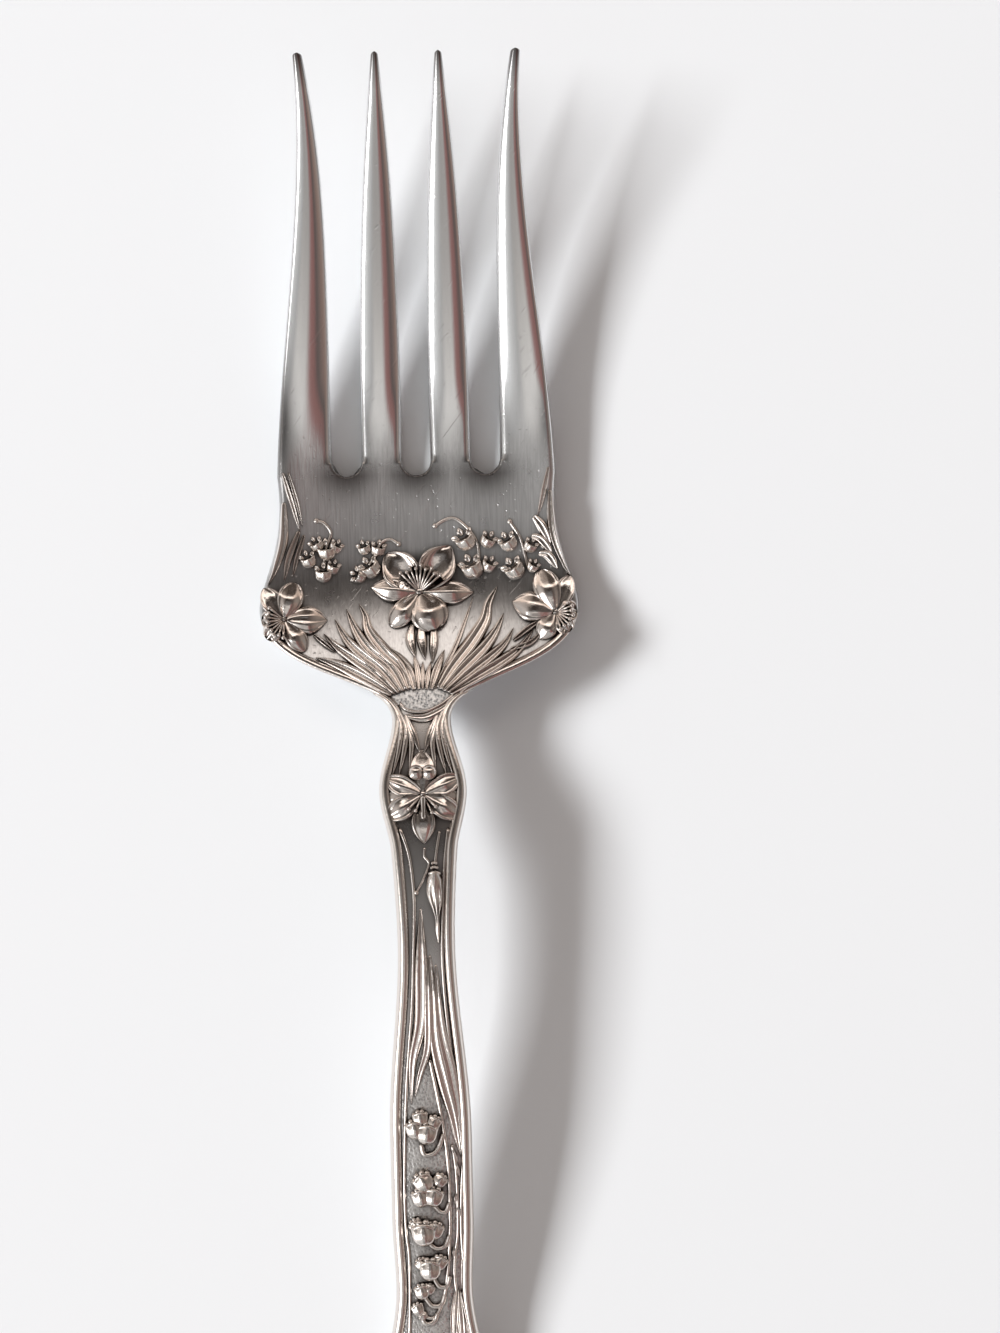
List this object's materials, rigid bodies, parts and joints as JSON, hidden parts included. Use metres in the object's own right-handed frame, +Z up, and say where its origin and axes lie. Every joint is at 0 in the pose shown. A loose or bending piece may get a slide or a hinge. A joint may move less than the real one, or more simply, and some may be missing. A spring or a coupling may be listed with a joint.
{
  "type": "serving fork",
  "caption": "Silver serving fork with long tapered tines, a dished shouldered plate, and applied flower, leaf and bell relief on the plate and along an arched handle.",
  "frame": {"origin": "on the table, under the middle of the fork's box as it lies face up", "axes": "+Y from the handle end to the tine tips, +X to the right seen from above with the tines away, +Z up"},
  "size_m": [0.051, 0.235, 0.0166],
  "materials": {
    "satin_silver": "worn satin silver with fine lengthwise scratches",
    "matted_silver": "stippled silver ground, darkened by oxide",
    "border_silver": "rubbed bright silver border wire",
    "flower_silver": "polished silver with dark oxide in the hollows",
    "leaf_silver": "polished silver ridges with dark oxide between them",
    "bell_silver": "polished silver with dark oxide round each bell"
  },
  "bodies": {
    "root": {"fork_head": "satin_silver", "handle": "matted_silver", "left_rim": "border_silver", "right_rim": "border_silver", "center_flower": "flower_silver", "left_flower": "flower_silver", "right_flower": "flower_silver", "neck_flower": "flower_silver", "end_flower": "flower_silver", "left_leaf_fan": "leaf_silver", "right_leaf_fan": "leaf_silver", "middle_leaves": "leaf_silver", "left_edge_leaves": "leaf_silver", "right_edge_leaves": "leaf_silver", "neck_leaves": "leaf_silver", "handle_leaves": "leaf_silver", "end_leaves": "leaf_silver", "bell_stem": "leaf_silver", "side_stem": "leaf_silver", "outer_left_bells": "bell_silver", "inner_left_bells": "bell_silver", "inner_right_bells": "bell_silver", "outer_right_bells": "bell_silver", "flower_bud": "bell_silver", "bell_cluster_1": "bell_silver", "bell_cluster_2": "bell_silver", "bell_cluster_3": "bell_silver", "bell_cluster_4": "bell_silver", "bell_cluster_5": "bell_silver", "bell_cluster_6": "bell_silver"}
  },
  "joints": []
}
